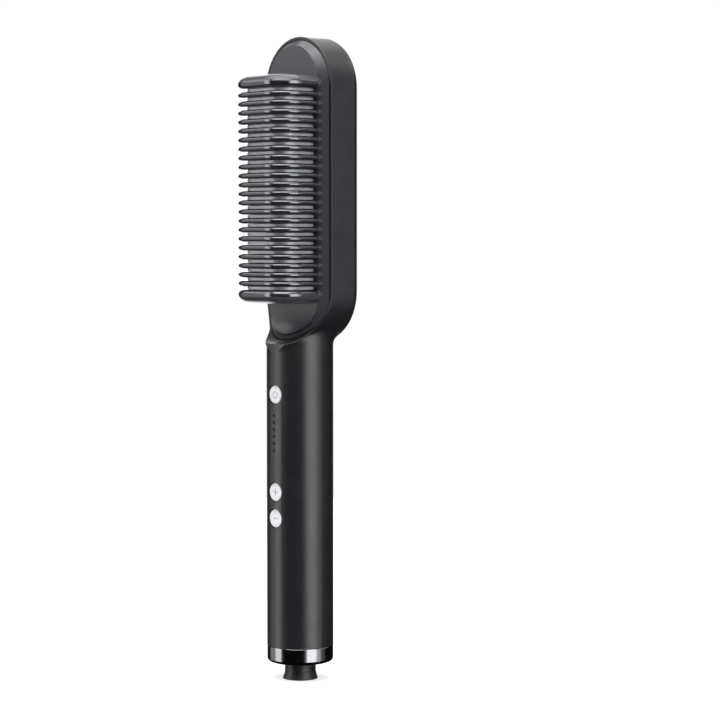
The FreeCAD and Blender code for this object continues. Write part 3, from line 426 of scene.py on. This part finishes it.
def print_sign(name, key, mesh):
    """Sets the finished sign on its button's face and makes it ride with the button."""
    low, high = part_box(key + "_button")
    bmesh.ops.recalc_face_normals(mesh, faces=mesh.faces)
    bmesh.ops.translate(mesh, vec=(0.0, low.y, (low.z + high.z) / 2), verts=mesh.verts)
    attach(set_up(name, mesh, pad_ink), key + "_key")


# Pad ink: mid grey, matt, a little uneven where the pad pressed it on.
pad_ink = grained("grey_pad_ink", "#9b9ba1", "#a9a9af", gloss=(0.5, 0.6), grain=0.3, relief=0.004, ior=1.5)
power_sign = bmesh.new()
stroke_arc(power_sign, power_gap)
stroke_bar(power_sign, stroke, sign_radius, power_tick_lift)
print_sign("power_sign", "power", power_sign)
plus_sign = bmesh.new()
stroke_bar(plus_sign, stroke, sign_width)
stroke_bar(plus_sign, sign_width, stroke)
print_sign("plus_sign", "warmer", plus_sign)
minus_sign = bmesh.new()
stroke_bar(minus_sign, sign_width, stroke)
print_sign("minus_sign", "cooler", minus_sign)

# Indicator light pipe: one acrylic moulding whose six pins end in the small holes between the buttons.
# Smoked nearly black, so that the dots show only when the diodes behind them are lit.
dark_acrylic = grained("smoked_light_pipe", "#0d0d0f", "#16161a", gloss=(0.08, 0.16), grain=0.8,
                       relief=0.002, ior=1.49)
dress(dark_acrylic, "indicator_lens")

# End ring: an ABS ring with dark bright chrome on it, clipped round the lower end of the handle.
# Chrome over a polished moulding: nearly a mirror, with faint wiping lines round it, 0.5 mm apart.
wipe_line = 0.5 * mm
wipe_stretch = 0.1
chrome, tree, shader, place = begin("dark_chrome_plate")
round_it = add(tree, "Mapping", {"Vector": place, "Scale": (wipe_stretch, wipe_stretch, 1.0)})
wiped = add(tree, "TexNoise", {"Vector": round_it.outputs[0], "Scale": 1 / wipe_line, "Detail": 3.0})
plate = add(tree, "Mix", {0: wiped.outputs["Fac"], 6: linear("#7e7e82"), 7: linear("#949498")},
            data_type="RGBA")
mirror = add(tree, "MapRange", {"Value": wiped.outputs["Fac"], "To Min": 0.13, "To Max": 0.19})
feed(tree, shader, Base_Color=plate.outputs[2], Roughness=mirror.outputs[0])
shader.inputs["Metallic"].default_value = 1.0
dress(chrome, "end_ring")

# End cap and swivel gland: the plug in the handle's end, and the gland that turns in it with the cord.
# Black nylon, moulded plain and slightly dull.
black_nylon = grained("plain_black_nylon", "#1c1c1f", "#2a2a2e", gloss=(0.4, 0.52), grain=0.5, relief=0.015,
                      ior=1.53)
dress(black_nylon, "end_cap", "swivel_gland")

# Retaining clip: a ring of spring steel that keeps the gland in the cap.
# It is stamped from the same rolled strip as the heater clamp.
dress(spring_steel, "swivel_clip")

# Slip rings and contact leaves: brass, stamped and drawn, pressed on the gland and in the contact block.
# The rings rub on the leaves, so fine bright lines run on the brass.
bare_brass = rolled("bare_brass", "#b08a3c", "#d8b868", gloss=(0.2, 0.38), line=0.3)
dress(bare_brass, "slip_rings", "contact_leaves")

# Floor: a plain white sheet that the brush stands on, white to the eye with the brush's soft shadow in it.
# The sheet is matt paper with a fine tooth of 1 mm, and the brush's gloss doesn't mirror it.
floor_radius = 0.7
floor_gap = 0.05 * mm
floor_glow = 0.62
paper_tooth = 1 * mm


def seen_white(tree):
    """One for a ray from the camera, from a gloss or through a clear piece, and none for the others."""
    path = add(tree, "LightPath", {})
    seen = add(tree, "Math", {0: path.outputs["Is Camera Ray"], 1: path.outputs["Is Glossy Ray"]},
               operation="MAXIMUM")
    return add(tree, "Math", {0: seen.outputs[0], 1: path.outputs["Is Transmission Ray"]},
               operation="MAXIMUM").outputs[0]


paper, tree, shader, place = begin("white_paper")
tooth = add(tree, "TexNoise", {"Vector": place, "Scale": 1 / paper_tooth, "Detail": 2.0})
sheet = add(tree, "Mix", {0: tooth.outputs["Fac"], 6: linear("#b4b4b4"), 7: linear("#bcbcbc")},
            data_type="RGBA")
white = add(tree, "Math", {0: seen_white(tree), 1: floor_glow}, operation="MULTIPLY")
feed(tree, shader, Base_Color=sheet.outputs[2], Emission_Strength=white.outputs[0])
shader.inputs["Emission Color"].default_value = linear("#ffffff")
shader.inputs["Roughness"].default_value = 0.9
shader.inputs["Specular IOR Level"].default_value = 0.0
floor_mesh = bmesh.new()
bmesh.ops.create_circle(floor_mesh, cap_ends=True, radius=floor_radius, segments=96)
bmesh.ops.translate(floor_mesh, vec=(0.0, 0.0, cad_box[0].z - floor_gap), verts=floor_mesh.verts)
floor = set_up("floor", floor_mesh, paper)
floor.visible_glossy = False

# Backdrop: white behind the brush to the eye, in the gloss and through clear pieces.
# As a light it is dim, so that the lamps shape the brush.
backdrop_light = 0.25
world = bpy.data.worlds.new("white_studio")
bpy.context.scene.world = world
world.use_nodes = True
tree = world.node_tree
level = add(tree, "MapRange", {"Value": seen_white(tree), "To Min": backdrop_light, "To Max": 1.0})
tree.links.new(level.outputs[0], tree.nodes["Background"].inputs["Strength"])
tree.nodes["Background"].inputs["Color"].default_value = linear("#ffffff")

# Curtain: black cloth over the set and round its front and sides, seen only as a dark reflection.
# It keeps the black plastic and the chrome dark between the lamps, as in a product studio, and is open
# behind the brush, so that the white backdrop shows in them.
camera_bearing = math.radians(50.4)
curtain_radius = 2.0
curtain_height = 3.0
opening_depth = 1.85
curtain_mesh = bmesh.new()
bmesh.ops.create_cone(curtain_mesh, cap_ends=True, radius1=curtain_radius, radius2=curtain_radius,
                      depth=curtain_height, segments=96)
away = Vector((-math.sin(camera_bearing), math.cos(camera_bearing), 0.0))
opening = [face for face in curtain_mesh.faces if face.calc_center_median().dot(away) > opening_depth]
bmesh.ops.delete(curtain_mesh, geom=opening, context="FACES")
black_cloth = grained("black_molton", "#070707", "#0c0c0c", gloss=(0.9, 1.0), grain=2.0, relief=0.2)
curtain = set_up("curtain", curtain_mesh, black_cloth)
curtain.visible_camera = False
curtain.visible_diffuse = False
curtain.visible_transmission = False
curtain.visible_shadow = False


# Lamps: upright softboxes at the left and the right of the camera and behind the brush, which draw the long
# soft highlights on the handle, and others above, which light the head's top and the ribs' upper edges.
def softbox(name, turn, width, radiance, height=1.4, lift=0.15, distance=1.1, tilt=90):
    """A softbox that faces the brush, with its sizes and its place in metres.

    turn is its bearing from the camera's and tilt its face's angle from straight down, in degrees."""
    lamp = bpy.data.lights.new(name, "AREA")
    lamp.shape = "RECTANGLE"
    lamp.size = width
    lamp.size_y = height
    lamp.energy = radiance * math.pi * width * height
    box = bpy.data.objects.new(name, lamp)
    bpy.context.collection.objects.link(box)
    bearing = camera_bearing + math.radians(turn)
    box.location = (distance * math.sin(bearing), -distance * math.cos(bearing), lift)
    box.rotation_euler = (math.radians(tilt), 0.0, bearing)
    box.visible_camera = False


softbox("left_softbox", turn=-82, width=0.51, radiance=1.9)
softbox("left_sheet", turn=-97, width=1.17, radiance=0.6)
softbox("right_softbox", turn=40, width=0.71, radiance=3.3)
softbox("right_fringe", turn=66, width=0.3, radiance=1.0)
softbox("right_sheet", turn=54, width=1.8, radiance=0.2)
softbox("rear_softbox", turn=184, width=0.3, radiance=1.6)
softbox("overhead_softbox", turn=-20, width=1.4, radiance=3.0, height=1.0, lift=1.15, distance=0.6, tilt=30)
softbox("top_softbox", turn=-160, width=1.2, radiance=3.2, height=1.2, lift=1.15, distance=0.2, tilt=0)
softbox("high_rear_softbox", turn=155, width=0.9, radiance=0.7, height=0.7, lift=1.1, distance=0.8, tilt=45)
softbox("upper_left_softbox", turn=-105, width=0.9, radiance=1.6, height=0.6, lift=0.95, tilt=53)
softbox("upper_right_softbox", turn=112, width=0.9, radiance=1.6, height=0.6, lift=0.95, tilt=53)

# Camera: a metre away, level with the head and half-way round from the brush's front to its right side.
# It looks a little down and a little to the right, with a long lens.
camera_distance = 1.0
camera_height = 0.115
camera_dip = math.radians(3.098)
camera_aim = math.radians(1.546)
lens = bpy.data.cameras.new("camera")
lens.sensor_width = 36.0
lens.lens = 111.5
camera = bpy.data.objects.new("camera", lens)
bpy.context.collection.objects.link(camera)
camera.location = (camera_distance * math.sin(camera_bearing), -camera_distance * math.cos(camera_bearing),
                   camera_height)
camera.rotation_euler = (math.radians(90) - camera_dip, 0.0, camera_bearing - camera_aim)
bpy.context.scene.camera = camera
bpy.context.scene.view_settings.view_transform = "Standard"
